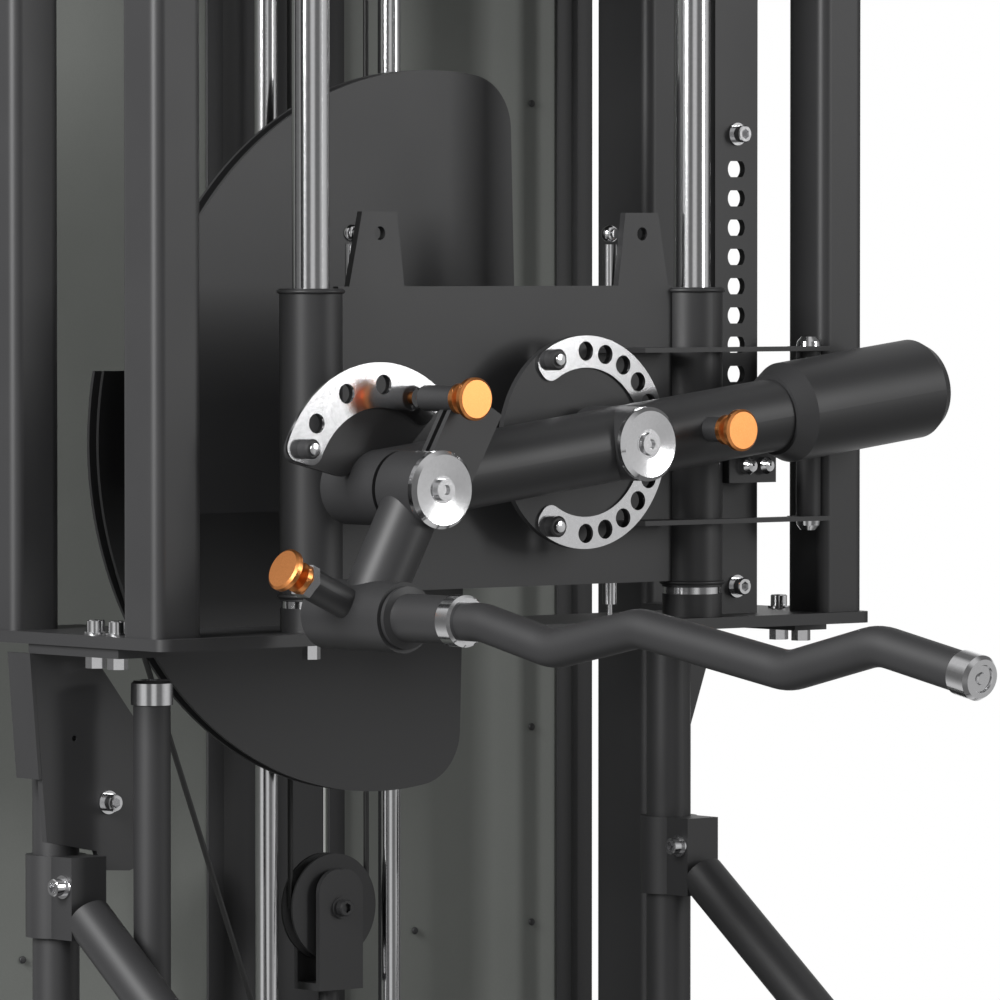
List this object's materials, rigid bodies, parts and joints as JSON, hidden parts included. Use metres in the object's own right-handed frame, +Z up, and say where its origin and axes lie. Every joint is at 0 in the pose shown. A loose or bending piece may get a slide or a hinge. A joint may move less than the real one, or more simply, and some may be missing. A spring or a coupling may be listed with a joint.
{
  "type": "functional trainer",
  "caption": "Functional trainer station with a height-adjustable carriage, indexed counterweighted arm, bent press handle, cams, guide rods and a weight tower",
  "frame": {"origin": "centre of the four floor anchor holes, on the floor", "axes": "+X to the user's side where the handle is, -Y to the machine's front, +Z up"},
  "size_m": [1.6359, 1.04, 2.15],
  "materials": {
    "powder_coat": "satin",
    "chrome": "polished",
    "anodised_orange": "satin",
    "grip_black": "satin",
    "panel_grey": "matte",
    "rubber": "matte",
    "weight_black": "satin",
    "cable_black": "satin",
    "wheel_black": "satin"
  },
  "bodies": {
    "frame": {"back_panels": "panel_grey", "cam_cable": "cable_black", "centre_post": "powder_coat", "chrome_rods": "chrome", "clamps": "powder_coat", "floor_rails": "powder_coat", "frame_bolts": "chrome", "front_grip": "grip_black", "front_grip_cap": "chrome", "hanging_bracket": "powder_coat", "head_forks": "powder_coat", "head_frame": "powder_coat", "head_wheels": "wheel_black", "hole_plate": "powder_coat", "main_plate_rear": "powder_coat", "main_plate_right": "powder_coat", "plate_splices": "powder_coat", "resting_plates": "weight_black", "round_braces": "powder_coat", "round_posts": "powder_coat", "rubber_pads": "rubber", "stack_cables": "cable_black", "stack_rods": "chrome", "tower_bases": "powder_coat", "tower_upright": "powder_coat", "uprights": "powder_coat"},
    "carriage": {"cheek_plate": "powder_coat", "rod_sleeves": "powder_coat", "bearing_housing": "powder_coat", "carriage_chrome": "chrome", "lift_frame": "powder_coat", "lift_grip": "grip_black"},
    "cam": {"cam_shaft": "chrome", "cam_upper": "powder_coat", "cam_lower": "powder_coat", "index_disc": "powder_coat", "index_arc": "chrome", "index_stops": "powder_coat"},
    "arm": {"arm_beam": "powder_coat", "counterweight": "powder_coat", "hub_cap": "chrome", "sector_back": "powder_coat", "sector_band": "chrome", "sector_stop": "powder_coat"},
    "beam_pin": {"pin_beam": "anodised_orange"},
    "forearm_body": {"forearm": "powder_coat", "forearm_chrome": "chrome"},
    "sector_pin": {"pin_sector": "anodised_orange"},
    "cross_pin": {"pin_cross": "anodised_orange"},
    "handle": {"handle_shaft": "powder_coat", "handle_grip": "grip_black", "handle_collar": "chrome", "handle_cap": "chrome"},
    "stack": {"lifted_plates": "weight_black", "floating_fork": "powder_coat"},
    "stack_wheel": {"floating_wheel": "wheel_black"},
    "stack_pin": {"selector_pin": "chrome"}
  },
  "joints": [
    {"name": "carriage_slide", "type": "slide", "parent": "frame", "child": "carriage", "axis": [0, 0, 1], "range_m": [0, 0.279]},
    {"name": "cam_turn", "type": "hinge", "parent": "carriage", "child": "cam", "pos_m": [0, 0.0645, 1.337], "axis": [-1, 0, 0], "range_deg": [0, 70]},
    {"name": "arm_index", "type": "hinge", "parent": "cam", "child": "arm", "pos_m": [0, 0.0645, 1.337], "axis": [-1, 0, 0], "range_deg": [-34, 48]},
    {"name": "forearm_fold", "type": "hinge", "parent": "arm", "child": "forearm_body", "pos_m": [0.26, -0.25146, 1.29765], "axis": [1, 0, 0], "range_deg": [0, 81]},
    {"name": "handle_turn", "type": "hinge", "parent": "forearm_body", "child": "handle", "pos_m": [0.283, -0.31939, 1.17409], "axis": [1, 0, 0], "range_deg": [-90, 90]},
    {"name": "beam_pin_pull", "type": "slide", "parent": "arm", "child": "beam_pin", "axis": [1, 0, 0], "range_m": [0, 0.012], "stiffness_N_per_m": 600},
    {"name": "sector_pin_pull", "type": "slide", "parent": "forearm_body", "child": "sector_pin", "axis": [1, 0, 0], "range_m": [0, 0.012], "stiffness_N_per_m": 600},
    {"name": "cross_pin_pull", "type": "slide", "parent": "forearm_body", "child": "cross_pin", "axis": [0, -0.9085, 0.4179], "range_m": [0, 0.012], "stiffness_N_per_m": 600},
    {"name": "stack_lift", "type": "slide", "parent": "frame", "child": "stack", "axis": [0, 0, 1], "range_m": [0, 0.24], "deforming": ["stack_cables"]},
    {"name": "wheel_spin", "type": "hinge", "parent": "stack", "child": "stack_wheel", "pos_m": [-0.28, 0.0845, 0.827], "axis": [1, 0, 0], "continuous": true},
    {"name": "selector_pull", "type": "slide", "parent": "stack", "child": "stack_pin", "axis": [1, 0, 0], "range_m": [0, 0.09]}
  ],
  "couplings": [
    {"joint": "stack_lift", "follows": "cam_turn", "m_per_rad": 0.19}
  ]
}
